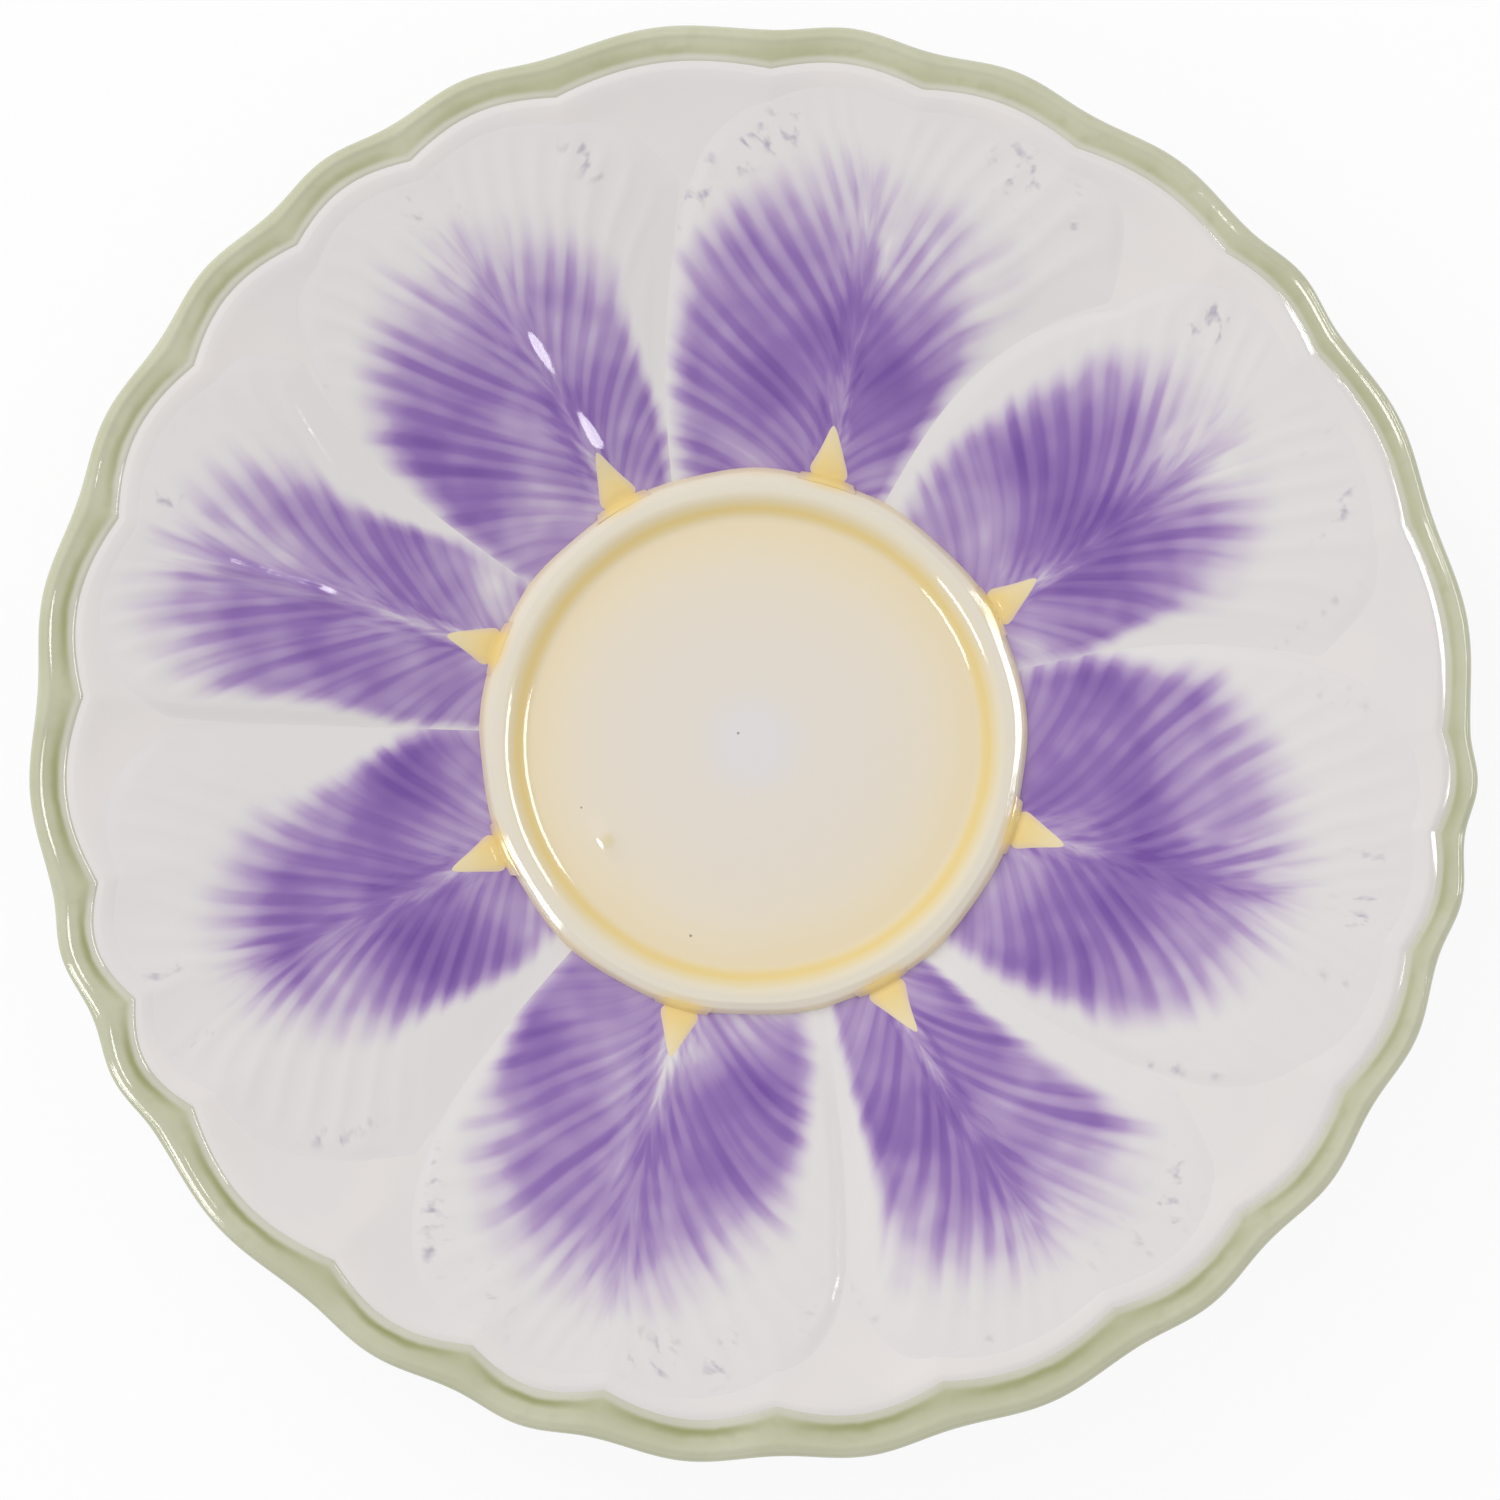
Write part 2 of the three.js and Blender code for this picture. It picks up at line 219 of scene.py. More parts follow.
class Nodes:
    """A node tree and the ways to add to it."""

    def __init__(self, tree):
        self.tree = tree

    def node(self, kind, inputs=None, output=0, **settings):
        """Adds a node, sets it up, fills or links its inputs, and gives one of its outputs."""
        added = self.tree.nodes.new(kind)
        for name, value in settings.items():
            setattr(added, name, value)
        for name, value in (inputs or {}).items():
            self.feed(added.inputs[name], value)
        return Socket(self, added.outputs[output])

    def feed(self, target, value):
        if isinstance(value, Socket):
            self.tree.links.new(value.socket, target)
        else:
            target.default_value = value

    def math(self, operation, *values):
        return self.node("ShaderNodeMath", dict(enumerate(values)), operation=operation)

    def step(self, value, low, high):
        """0 where value is below low, 1 above high, and a soft bend between them."""
        inputs = {"Value": value, "From Min": low, "From Max": high}
        return self.node("ShaderNodeMapRange", inputs, interpolation_type="SMOOTHSTEP")

    def vector(self, x, y, z):
        return self.node("ShaderNodeCombineXYZ", {"X": x, "Y": y, "Z": z})

    def parts(self, vector):
        """The x, y and z of a vector."""
        return [self.node("ShaderNodeSeparateXYZ", {"Vector": vector}, name) for name in "XYZ"]

    def noise(self, vector, scale, detail=2.0):
        return self.node("ShaderNodeTexNoise", {"Vector": vector, "Scale": scale, "Detail": detail})

    def mix(self, share, first, second):
        """One colour painted over another."""
        return self.node("ShaderNodeMix", {"Factor": share, 6: first, 7: second}, 2, data_type="RGBA")

    def ramp(self, value, stops):
        """A colour that runs through stops, each a place from 0 to 1 and a colour."""
        ramped = self.node("ShaderNodeValToRGB", {"Fac": value})
        elements = ramped.socket.node.color_ramp.elements
        while len(elements) < len(stops):
            elements.new(1.0)
        for element, (position, color) in zip(elements, stops):
            element.position = position
            element.color = color
        return ramped

    def attribute(self, name):
        """The three numbers that each point of a piece keeps under a name."""
        return self.parts(self.node("ShaderNodeAttribute", None, "Vector", attribute_name=name))

    def place(self):
        """Place on the piece, in millimetres."""
        metres = self.node("ShaderNodeTexCoord", None, "Object")
        return self.node("ShaderNodeVectorMath", {0: metres, "Scale": 1 / MM}, operation="SCALE")

    def distance(self, place, spot=(0, 0)):
        """How far a place lies from a spot, or else from the axis, seen from above."""
        x, y = self.parts(place)[:2]
        inputs = {0: self.vector(x, y, 0.0), 1: (*spot, 0)}
        return self.node("ShaderNodeVectorMath", inputs, "Value", operation="DISTANCE")


def sine(value):
    """The sine of an array or of a socket, so that one formula can shape a mesh and paint it."""
    return value.nodes.math("SINE", value) if isinstance(value, Socket) else np.sin(value)


def arctangent(value):
    """The arctangent of an array or of a socket."""
    return value.nodes.math("ARCTANGENT", value) if isinstance(value, Socket) else np.arctan(value)


print("node helpers ready")

# %% [markdown]
# ## Light
# Shiny pottery is photographed in a white tent, which lights it evenly. Two openings in the tent, a wide one
# on the right and a narrow one at the lower left, show in the glaze as crisp glints. The world is the tent,
# and two area lamps are the openings, which light only the reflections. A third, broad lamp at the upper
# left lights only the colours, and gives the relief its soft shading.

# %% World and lamps
TENT_LIGHT = 0.8
LAMP_DISTANCE = 1.0
LAMP_ELEVATION = 40.0
LAMPS = [
    {"name": "opening_right", "azimuth": 12.0, "size": (0.65, 0.26), "power": 6.9, "glossy": True},
    {"name": "opening_left", "azimuth": 211.0, "size": (0.27, 0.24), "power": 2.7, "glossy": True},
    {"name": "key", "azimuth": 135.0, "size": (0.6, 0.6), "power": 3.4, "glossy": False},
]


def seen_directly(nodes):
    """1 for a ray that ends in the picture, straight or by way of a mirror or glass."""
    rays = ["Is Camera Ray", "Is Glossy Ray", "Is Transmission Ray"]
    camera_ray, glossy_ray, clear_ray = [nodes.node("ShaderNodeLightPath", None, ray) for ray in rays]
    return nodes.math("MAXIMUM", nodes.math("MAXIMUM", camera_ray, glossy_ray), clear_ray)


world = bpy.data.worlds.new("tent")
world.use_nodes = True
bpy.context.scene.world = world
tent = Nodes(world.node_tree)
backdrop = world.node_tree.nodes["Background"]
backdrop.inputs["Color"].default_value = (1, 1, 1, 1)
tent.feed(backdrop.inputs["Strength"], TENT_LIGHT + (1 - TENT_LIGHT) * seen_directly(tent))

for light in LAMPS:
    azimuth = math.radians(light["azimuth"])
    elevation = math.radians(LAMP_ELEVATION)
    level = LAMP_DISTANCE * math.cos(elevation)
    height = LAMP_DISTANCE * math.sin(elevation)
    place = Vector((level * math.cos(azimuth), level * math.sin(azimuth), height))
    bpy.ops.object.light_add(type="AREA", location=place)
    lamp = bpy.context.active_object
    lamp.name = light["name"]
    lamp.rotation_euler = (-place).to_track_quat("-Z", "Y").to_euler()
    lamp.data.shape = "RECTANGLE"
    lamp.data.size, lamp.data.size_y = light["size"]
    lamp.data.energy = light["power"]
    lamp.visible_diffuse = not light["glossy"]
    lamp.visible_glossy = light["glossy"]
print("lamps:", len(LAMPS))

# %% [markdown]
# ## Table
# The saucer stands on a plain white sheet. For rays that reach the picture, most of the sheet's light is
# its own white, so that it reads as a white page, and the rest is real light, so that a shadow stays.

# %% Table
TABLE_SIZE = 4.0
TABLE_GLOW = 0.88

bpy.ops.mesh.primitive_plane_add(size=TABLE_SIZE)
table = bpy.context.active_object
table.name = "table"
sheet = bpy.data.materials.new("white_sheet")
sheet.use_nodes = True
sheet_nodes = Nodes(sheet.node_tree)
sheet.node_tree.nodes.clear()
lit = sheet_nodes.node("ShaderNodeBsdfDiffuse", {"Color": (0.9, 0.9, 0.9, 1)})
glow = sheet_nodes.node("ShaderNodeEmission", {"Color": (1, 1, 1, 1), "Strength": 1.0})
glow_share = TABLE_GLOW * seen_directly(sheet_nodes)
both = sheet_nodes.node("ShaderNodeMixShader", {0: glow_share, 1: lit, 2: glow})
target = sheet.node_tree.nodes.new("ShaderNodeOutputMaterial")
sheet_nodes.feed(target.inputs["Surface"], both)
table.data.materials.append(sheet)
print("table ready")

# %% [markdown]
# ## Turning
# Most coats are round, so they are turned like a pot: one vertex is extruded along the section and the
# line is spun round the axis.

# %% Turn
MERGE_DISTANCE = 1e-6


def curve_through(points, steps):
    """Points along a smooth curve through the given ones, with so many steps from each to the next."""
    knots = np.array([points[0], *points, points[-1]], float)
    path = []
    for before, here, there, after in zip(knots, knots[1:], knots[2:], knots[3:]):
        for t in np.arange(steps) / steps:
            square = (2 * before - 5 * here + 4 * there - after) * t**2
            cube = (3 * here - before - 3 * there + after) * t**3
            path.append(tuple((2 * here + (there - before) * t + square + cube) / 2))
    return path + [tuple(knots[-1])]


def turn(name, section, steps):
    """Extrudes one vertex along a section of (radius, height) points and spins the line round the axis."""
    points = [Vector((radius * MM, 0, height * MM)) for radius, height in section]
    bpy.ops.mesh.primitive_plane_add(size=MM)
    piece = bpy.context.active_object
    piece.name = name
    bpy.ops.object.mode_set(mode="EDIT")
    bpy.ops.mesh.select_all(action="SELECT")
    bpy.ops.mesh.merge(type="CENTER")
    bpy.ops.transform.translate(value=points[0])
    for here, there in zip(points, points[1:]):
        bpy.ops.mesh.extrude_region_move(TRANSFORM_OT_translate={"value": there - here})
    bpy.ops.mesh.select_all(action="SELECT")
    bpy.ops.mesh.spin(steps=steps, angle=math.tau, center=(0, 0, 0), axis=(0, 0, 1))
    bpy.ops.mesh.select_all(action="SELECT")
    bpy.ops.mesh.remove_doubles(threshold=MERGE_DISTANCE)
    bpy.ops.mesh.normals_make_consistent(inside=False)
    bpy.ops.object.mode_set(mode="OBJECT")
    return piece


# %% [markdown]
# ## Moulding
# What a lathe can't do, such as a scallop, comes after: a formula presses the points of the turned shape
# into place, as clay is pressed into a mould. A Solidify modifier then makes a coat of an open sheet.

# %% Mould and coat
def points_of(piece):
    """The piece's points in millimetres, one row each."""
    numbers = np.empty(len(piece.data.vertices) * 3)
    piece.data.vertices.foreach_get("co", numbers)
    return numbers.reshape(-1, 3) / MM


def put_points(piece, points):
    piece.data.vertices.foreach_set("co", (points * MM).ravel())
    piece.data.update()


def polar(radius, angle, height):
    """Points from radii, angles in degrees and heights."""
    bearing = np.radians(angle)
    return np.stack([radius * np.cos(bearing), radius * np.sin(bearing), height], axis=-1)


def round_places(piece):
    """Radii, angles in degrees and heights of the piece's points."""
    x, y, height = points_of(piece).T
    return np.hypot(x, y), np.degrees(np.arctan2(y, x)) % 360, height


def mould(piece, formula):
    """Presses each point to a new (radius, angle, height), worked out from its old ones."""
    put_points(piece, polar(*formula(*round_places(piece))))


def press_scallops(piece):
    """Moves evenly spun columns so that each scallop has the same number, then scallops the radius."""

    def pressed(radius, angle, height):
        placed = np.interp(angle * SCALLOPS / 360, cusp_turns, cusp_angles)
        return scalloped(radius, placed), placed, height

    mould(piece, pressed)


def face(piece, upwards):
    """Turns an open sheet's faces so that most of them look up, or down."""
    lean = sum(polygon.normal.z * polygon.area for polygon in piece.data.polygons)
    if (lean > 0) == upwards:
        return
    bpy.ops.object.mode_set(mode="EDIT")
    bpy.ops.mesh.select_all(action="SELECT")
    bpy.ops.mesh.flip_normals()
    bpy.ops.object.mode_set(mode="OBJECT")


def make_coat(piece, upwards=True):
    """Gives an open sheet the thickness of a coat, on its inner side."""
    face(piece, upwards)
    thickness = piece.modifiers.new("coat", "SOLIDIFY")
    thickness.thickness = COAT * MM
    thickness.offset = -1
    bpy.ops.object.modifier_apply(modifier=thickness.name)


# %% [markdown]
# ## Dressing
# A finished piece gets its material and its place in the frame. Some materials read numbers that the points
# keep, such as how far across a petal a point lies.

# %% Keep and dress
SMOOTH_ANGLE = math.radians(50)


def keep(piece, name, columns):
    """Keeps up to three numbers for each point, for the piece's material to read."""
    kept = np.zeros((len(piece.data.vertices), 3), np.float32)
    for index, column in enumerate(columns):
        kept[:, index] = column
    attribute = piece.data.attributes.new(name, "FLOAT_VECTOR", "POINT")
    attribute.data.foreach_set("vector", kept.ravel())


def dress(piece, node, material):
    """Gives a finished piece its material and its place in the frame."""
    bpy.ops.object.select_all(action="DESELECT")
    piece.select_set(True)
    bpy.context.view_layer.objects.active = piece
    bpy.ops.object.shade_smooth_by_angle(angle=SMOOTH_ANGLE)
    piece.data.materials.clear()
    piece.data.materials.append(material)
    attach(piece, "root")
    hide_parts(node)
    print(f"{piece.name}: {len(piece.data.polygons)} faces")


print("helpers ready")

# %% [markdown]
# ## Paint and glaze
# Colours are written as they look in the photograph, from 0 to 255. The gloss adds a little white light
# to every colour there, so the paint under it is that much darker. Each glaze is a Principled shader whose
# gloss wavers slightly, because glaze runs before it sets. Bare clay is the same shader without the gloss.

# %% Paint and glaze
GLOSS_LIGHT = 0.04
GLAZE_ROUGHNESS = 0.1
GLAZE_WAVE = 0.35
GLAZE_BUMP = 0.00004
GLAZE_REFRACTION = 1.5


def paint(red, green, blue):
    """The paint that looks like this colour, from 0 to 255, under the gloss."""
    seen = np.array([red, green, blue]) / 255
    linear = np.where(seen < 0.04045, seen / 12.92, ((seen + 0.055) / 1.055) ** 2.4)
    under = np.clip((linear - GLOSS_LIGHT) / (1 - GLOSS_LIGHT), 0.002, 1)
    return (*under.tolist(), 1.0)


WHITE = paint(222, 218, 217)
CREAM = paint(225, 217, 201)


def glaze(name, color_of, matt=None):
    """A glaze whose colour color_of draws with the material's nodes. matt is the roughness without gloss."""
    material = bpy.data.materials.new(name)
    material.use_nodes = True
    nodes = Nodes(material.node_tree)
    shader = material.node_tree.nodes["Principled BSDF"]
    place = nodes.place()
    runs = nodes.noise(place, GLAZE_WAVE)
    bump = nodes.node("ShaderNodeBump", {"Height": runs, "Distance": GLAZE_BUMP, "Strength": 1.0})
    nodes.feed(shader.inputs["Base Color"], color_of(nodes, place))
    nodes.feed(shader.inputs["Roughness"], matt or GLAZE_ROUGHNESS * (0.7 + 0.6 * runs))
    nodes.feed(shader.inputs["Normal"], bump)
    nodes.feed(shader.inputs["IOR"], GLAZE_REFRACTION)
    return material


def white_color(nodes, place):
    """White glaze, a little warmer where it lies thick."""
    cloud = nodes.noise(place, 0.08)
    return nodes.mix(nodes.step(cloud, 0.3, 0.75), WHITE, paint(226, 221, 218))


white_glaze = glaze("white_glaze", white_color)
print("white glaze ready")

# %% [markdown]
# ## Clay body
# The body is one pressing of pale earthenware. Glaze hides all of it but the foot ring, which is wiped
# clean so that it doesn't stick in the kiln. The section runs from the middle of the well, one coat below
# the surface, over the lip and back under to the foot.

# %% Clay body
FOOT_OUTER = 28.0
FOOT_INNER = 24.5
FOOT_LEAN = 0.6
FOOT_ROUND = 0.4
LIP_INSET = 1.1
LIP_EDGE_DROP = 0.9
LIP_UNDER_INSET = 0.9
LIP_THICKNESS = 2.2
RIM_STEPS = SCALLOPS * 24
SLOPE_STEPS = 12
CLAY_ROUGHNESS = 0.8

slope_radii = np.linspace(RING_OUTER + 1, EDGE_RADIUS - 2, SLOPE_STEPS)
under_radii = np.linspace(EDGE_RADIUS - WALL, FOOT_OUTER + FOOT_LEAN + 3 * COAT, SLOPE_STEPS)


def under_height(radius):
    """Height of the saucer's underside, one wall below the slope and never below the base."""
    return np.maximum(base_height, flower_height(radius) - WALL)


clay_depth = 2 * COAT
clay_section = [(0, well_floor - COAT), (RING_OUTER, well_floor - COAT)]
clay_section += [(radius, flower_height(radius) - clay_depth) for radius in slope_radii]
clay_section += [
    (OUTLINE_RADIUS - LIP_INSET - COAT, lip_top - clay_depth),
    (OUTLINE_RADIUS - clay_depth, lip_top - LIP_EDGE_DROP - COAT),
    (OUTLINE_RADIUS - LIP_UNDER_INSET - clay_depth, lip_top - LIP_THICKNESS),
]
clay_section += [(radius, under_height(radius) + COAT) for radius in under_radii]
clay_section += [
    (FOOT_OUTER + FOOT_LEAN, base_height),
    (FOOT_OUTER, FOOT_ROUND),
    (FOOT_OUTER - FOOT_ROUND, 0),
    (FOOT_INNER + FOOT_ROUND, 0),
    (FOOT_INNER, FOOT_ROUND),
    (FOOT_INNER - FOOT_LEAN, base_height),
    (FOOT_INNER - FOOT_LEAN - COAT, base_height + COAT),
    (0, base_height + COAT),
]


def clay_color(nodes, place):
    """Biscuit clay with fine grog and a darker, handled bloom."""
    grain = nodes.noise(place, 2.5, 6.0)
    cloud = nodes.noise(place, 0.15)
    biscuit = nodes.mix(nodes.step(cloud, 0.3, 0.7), paint(222, 205, 178), paint(207, 186, 156))
    return nodes.mix(nodes.step(grain, 0.62, 0.72), biscuit, paint(168, 140, 108))


bare_clay = glaze("bare_clay", clay_color, CLAY_ROUGHNESS)
clay_body = turn("clay_body_visual", clay_section, RIM_STEPS)
press_scallops(clay_body)
dress(clay_body, "clay_body", bare_clay)

# %% [markdown]
# ## Glaze under the saucer
# The underside is plain white glaze, in two coats: one from the lip in to the foot, and one inside the
# foot. Both run a little way down the foot and stop where it was wiped.

# %% Glaze under the saucer
bare_lean = FOOT_LEAN * bare_height / base_height
under_section = [(OUTLINE_RADIUS - LIP_UNDER_INSET - 0.1, lip_top - LIP_THICKNESS + 0.1)]
under_section += [(radius, under_height(radius)) for radius in under_radii]
under_section += [
    (FOOT_OUTER + FOOT_LEAN + 2 * COAT, base_height),
    (FOOT_OUTER + FOOT_LEAN + COAT, base_height - COAT),
    (FOOT_OUTER + bare_lean + COAT, bare_height),
]
underside = turn("underside_glaze_visual", curve_through(under_section, 2), RIM_STEPS)
press_scallops(underside)
make_coat(underside, upwards=False)
dress(underside, "underside_glaze", white_glaze)

BASE_STEPS = 128
base_section = [
    (0, base_height),
    (FOOT_INNER - FOOT_LEAN - 3 * COAT, base_height),
    (FOOT_INNER - FOOT_LEAN - COAT, base_height - COAT),
    (FOOT_INNER - bare_lean - COAT, bare_height),
]
base = turn("base_glaze_visual", base_section, BASE_STEPS)
make_coat(base, upwards=False)
dress(base, "base_glaze", white_glaze)

# %% [markdown]
# ## Well and ring
# The cup stands on a flat floor inside a raised ring. The ring's inner slope bends in and out again, which
# is why it shows two glints side by side. Its crest falls outwards in a narrow bevel, which catches the
# light too. Both coats follow one section, cut where the colours meet.

# %% Section of the well and ring
WELL_EDGE = 26.2
RING_CREST_IN = 28.2
RING_CREST_OUT = 29.1
RING_BEVEL_OUT = 30.1
RING_BEVEL_DROP = 0.46
RING_BEVEL_ROUND = 0.2
RING_FOOT = 31.3
RING_FOOT_DEPTH = 1.6
SECTION_STEPS = 40


def ring_height(radius):
    """Height of the floor and the ring."""
    rise = (ring_top - well_floor) * smooth((radius - RING_INNER) / (RING_CREST_IN - RING_INNER))
    bevel = np.clip((radius - RING_CREST_OUT) / (RING_BEVEL_OUT - RING_CREST_OUT), 0, 1)
    wall_start = RING_BEVEL_OUT - RING_BEVEL_ROUND
    wall_fall = ring_top - PETAL_FOOT_HEIGHT + RING_FOOT_DEPTH - RING_BEVEL_DROP
    wall = smooth((radius - wall_start) / (RING_FOOT - wall_start))
    fall = RING_BEVEL_DROP * bevel + wall_fall * wall
    return well_floor + rise - fall


print(f"ring from {2 * WELL_EDGE:.1f} mm to {2 * RING_FOOT:.1f} mm across")

# %% [markdown]
# The floor's yellow glaze is pale in the middle and pools deep yellow at the foot of the ring. It holds a
# few specks of iron, and one drop of glaze that stands up a little, with a painted shadow on its upper
# right.

# %% Well
WELL_STEPS = 512
DRIP_ZONE = 17.0
MIDDLE_STEPS = 14
DRIP_PLACE = (-16.6, -11.0)
DRIP_LEAN = math.radians(214)
DRIP_STEEP = 0.65
DRIP_GENTLE = 1.4
DRIP_LENGTH = 2.0
DRIP_HEIGHT = 0.4
# Centre of the drop's painted shadow, a darker yellow spot on its upper right.
DRIP_SHADE = (-16.2, -10.9)
POOL_YELLOW = paint(231, 207, 142)
IRON_SPECKS = [(-7.0, -21.5, 0.22), (-1.7, 1.1, 0.2), (-19.2, -7.2, 0.16)]


def well_color(nodes, place):
    """Cream in the middle, yellow where glaze pools at the ring, the drop's painted shadow and iron specks.
    """
    radius = nodes.distance(place)
    uneven = radius + 4.0 * (nodes.noise(place, 0.06) - 0.5)
    color = nodes.ramp(uneven / WELL_EDGE, [
        (0.1, WHITE),
        (0.25, paint(224, 217, 207)),
        (0.6, paint(226, 217, 203)),
        (0.78, paint(228, 217, 196)),
        (0.92, paint(229, 215, 184)),
    ])
    pool = nodes.step(radius + 0.5 * (nodes.noise(place, 0.12) - 0.5), WELL_EDGE - 1.3, WELL_EDGE - 0.1)
    color = nodes.mix(0.9 * pool, color, POOL_YELLOW)
    # The drop's painted shadow: darker yellow on its upper right.
    drop = nodes.distance(place, DRIP_SHADE)
    color = nodes.mix(0.5 * (1 - nodes.step(drop, 0.2, 1.2)), color, paint(216, 203, 150))
    for x, y, size in IRON_SPECKS:
        away = nodes.distance(place, (x, y))
        color = nodes.mix(0.7 * (1 - nodes.step(away, 0.4 * size, size)), color, paint(110, 96, 80))
    return color


def drip(radius, angle, height):
    """A drop of glaze that set on the floor, steep on the side where it ran to."""
    x, y = polar(radius, angle, height).T[:2]
    east = x - DRIP_PLACE[0]
    north = y - DRIP_PLACE[1]
    across = east * math.cos(DRIP_LEAN) + north * math.sin(DRIP_LEAN)
    across = across / np.where(across > 0, DRIP_STEEP, DRIP_GENTLE)
    along = (north * math.cos(DRIP_LEAN) - east * math.sin(DRIP_LEAN)) / DRIP_LENGTH
    return radius, angle, height + DRIP_HEIGHT * np.exp(-(across**2) - along**2)


middle_radii = np.linspace(1, DRIP_ZONE, MIDDLE_STEPS)
outer_radii = np.linspace(DRIP_ZONE, WELL_EDGE, SECTION_STEPS)[1:]
well_radii = np.concatenate([[0], middle_radii, outer_radii])
well = turn("cup_well_visual", [(radius, ring_height(radius)) for radius in well_radii], WELL_STEPS)
mould(well, drip)
make_coat(well)
dress(well, "cup_well", glaze("well_glaze", well_color))

# %% [markdown]
# The ring is cream. Yellow runs from it into the well, and is smeared on its outer wall wherever a spur
# leaves it.

# %% Ring
RING_STEPS = 256
WALL_WAVES = [(0.14, 5, 20), (0.12, 13, 5)]
SEPAL_ANGLES = [28.8, 74.3, 118.8, 159.8, 203, 254.7, 298.3, 342]
SEPAL_SPAN = 4.5
SEPAL_SWELL = 0.1
SMEAR_START = 28.8
SMEAR_RUN = 1.4


def ring_color(nodes, place):
    """Cream over the crest, running yellow down to the well and a little at the foot of the petals."""
    uneven = nodes.distance(place) + 0.5 * (nodes.noise(place, 0.15) - 0.5)
    cream = nodes.ramp((uneven - WELL_EDGE) / (RING_OUTER - WELL_EDGE), [
        (0.0, POOL_YELLOW),
        (0.12, paint(230, 212, 164)),
        (0.34, paint(228, 218, 194)),
        (0.55, CREAM),
        (0.85, paint(227, 219, 203)),
        (1.0, paint(228, 214, 186)),
    ])
    smear = nodes.attribute("smear")[0]
    return nodes.mix(0.8 * smear, cream, paint(233, 205, 132))


def near_sepal(angle):
    """1 at the middle of a sepal, fading within a few degrees."""
    away = (angle[:, None] - np.array(SEPAL_ANGLES) + 180) % 360 - 180
    return np.exp(-((away / SEPAL_SPAN) ** 2)).sum(axis=1)


def hand_cut(radius, angle, height):
    """The ring's outer wall isn't quite round: it wavers, and bulges a little at each sepal."""
    outer = smooth((radius - RING_CREST_IN) / (RING_OUTER - RING_CREST_IN))
    bulge = sum(wave(angle, *row) for row in WALL_WAVES) + SEPAL_SWELL * near_sepal(angle)
    return radius + outer * bulge, angle, height


ring_radii = np.linspace(WELL_EDGE, RING_FOOT, SECTION_STEPS)
ring = turn("cup_ring_visual", [(radius, ring_height(radius)) for radius in ring_radii], RING_STEPS)
mould(ring, hand_cut)
make_coat(ring)
radius, angle = round_places(ring)[:2]
keep(ring, "smear", [smooth((radius - SMEAR_START) / SMEAR_RUN) * near_sepal(angle)])
dress(ring, "cup_ring", glaze("ring_glaze", ring_color))

# %% [markdown]
# ## Green lip
# A green band wraps the lip. It lies one step below the white flower and rises to a rounded crest. The step
# is filled with glaze on the left, and the lip is lower on the right.

# %% Shape of the green lip
BAND_STEP = 0.42
BAND_TUCK = 1.2
STEP_SIDE = 12.0
STEP_FILL = 0.2
LIP_DIP = 0.35
BAND_COLUMNS = SCALLOPS * 32

band_start = edge_height - BAND_STEP
band_outline = [
    (EDGE_RADIUS - BAND_TUCK, band_start - 0.7),
    (EDGE_RADIUS - 0.5, band_start - 0.1),
    (EDGE_RADIUS, band_start),
    (EDGE_RADIUS + 1.0, band_start + 0.29),
    (EDGE_RADIUS + 2.0, band_start + 0.58),
    (OUTLINE_RADIUS - 1.3, lip_top - 0.1),
    (OUTLINE_RADIUS - 1.0, lip_top - 0.08),
    (OUTLINE_RADIUS - 0.65, lip_top - 0.19),
    (OUTLINE_RADIUS - 0.3, lip_top - 0.34),
    (OUTLINE_RADIUS, lip_top - LIP_EDGE_DROP - 0.1),
    (OUTLINE_RADIUS - 0.3, lip_top - LIP_EDGE_DROP - 0.8),
    (OUTLINE_RADIUS - LIP_UNDER_INSET, lip_top - LIP_THICKNESS),
]


def level_band(radius, angle, height):
    """Fills the step beside the white edge on the left, and lowers the lip on the right."""
    right = 0.5 + wave(angle, 0.5, 1, STEP_SIDE)
    out = np.clip((radius - EDGE_RADIUS) / (OUTLINE_RADIUS - EDGE_RADIUS), 0, 1)
    return radius, angle, height + STEP_FILL * (1 - right) * (1 - out) - LIP_DIP * right * out


band = turn("rim_band_visual", curve_through(band_outline, 4), BAND_COLUMNS)
mould(band, level_band)
press_scallops(band)
make_coat(band)
print("lip turned")

# %% [markdown]
# The glaze is thin and light on the crest and dark where it pools against the flower's edge. Painted shade
# under the step darkens that line too, most at the lower left. So each point keeps how far across the band
# it lies and how much pooled glaze and painted shade it gets, in an attribute that the material reads.

# %% Paint of the green lip
# Angle where the pooled glaze and the painted shade under the step are darkest.
POOL_SHADE_CREST = 235.0


def keep_band(piece):
    """Keeps how far across the band each point lies and how much pooled glaze and painted shade it gets."""
    radius, angle = round_places(piece)[:2]
    edge, outline = rim_lines(angle)
    # Pooled glaze and painted shade under the step, strongest mid-scallop and at the lower left.
    pool_and_shade = lobe(scallop_turn(angle)) * (0.55 + wave(angle, 0.45, 1, POOL_SHADE_CREST))
    keep(piece, "band", [(radius - edge) / (outline - edge), pool_and_shade])


def green_wash(nodes, place):
    """Soft green, brushed unevenly."""
    cloud = nodes.noise(place, 0.09)
    streak = nodes.noise(place, 0.5)
    wash = nodes.mix(nodes.step(cloud, 0.35, 0.65), paint(182, 183, 152), paint(194, 194, 168))
    return nodes.mix(0.4 * nodes.step(streak, 0.5, 0.75), wash, paint(176, 177, 145))


